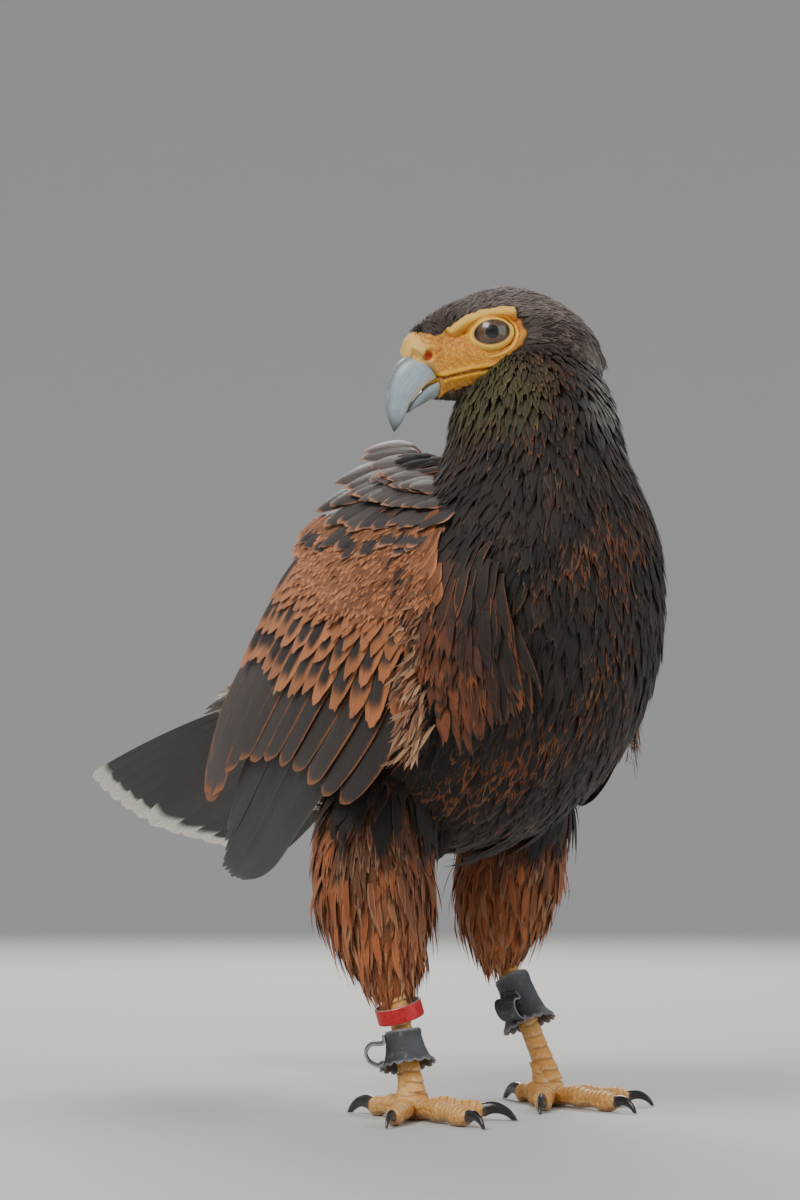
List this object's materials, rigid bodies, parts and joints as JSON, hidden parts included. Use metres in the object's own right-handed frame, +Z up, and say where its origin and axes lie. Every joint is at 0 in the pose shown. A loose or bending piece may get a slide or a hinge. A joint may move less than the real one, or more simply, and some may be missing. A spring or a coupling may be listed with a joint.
{
  "type": "harris hawk",
  "caption": "Life-size still model of a standing harris hawk with folded wings and turned head, wearing leather anklets and a leg ring.",
  "frame": {"origin": "on the floor under the middle of the bird's overall box", "axes": "-Y is the way the body faces, +X is the bird's left side, +Z is up; the head is turned to the bird's right"},
  "size_m": [0.1647, 0.38, 0.3571],
  "materials": {
    "plumage_dark": "dark chocolate-brown feathers",
    "plumage_rufous": "rufous chestnut feathers",
    "bill_horn": "blue-grey horn, darker at the tip",
    "eye": "wet brown eye with a black pupil",
    "leg_skin": "dull yellow scaled skin",
    "claw_horn": "black horn",
    "anklet_leather": "worn dark grey leather",
    "ring_red": "red enamel over a pale band"
  },
  "bodies": {
    "root": {"torso": "plumage_dark", "neck": "plumage_dark", "head": "plumage_dark", "upper_bill": "bill_horn", "lower_bill": "bill_horn", "eye_left": "eye", "eye_right": "eye", "wing_right": "plumage_dark", "wing_left": "plumage_dark", "tail": "plumage_dark", "thigh_right": "plumage_rufous", "thigh_left": "plumage_rufous", "shank_right": "leg_skin", "shank_left": "leg_skin", "foot_right": "leg_skin", "foot_left": "leg_skin", "claw_middle_right": "claw_horn", "claw_inner_right": "claw_horn", "claw_outer_right": "claw_horn", "claw_hind_right": "claw_horn", "claw_middle_left": "claw_horn", "claw_inner_left": "claw_horn", "claw_outer_left": "claw_horn", "claw_hind_left": "claw_horn", "leg_ring": "ring_red", "anklet_right": "anklet_leather", "anklet_left": "anklet_leather"}
  },
  "joints": []
}
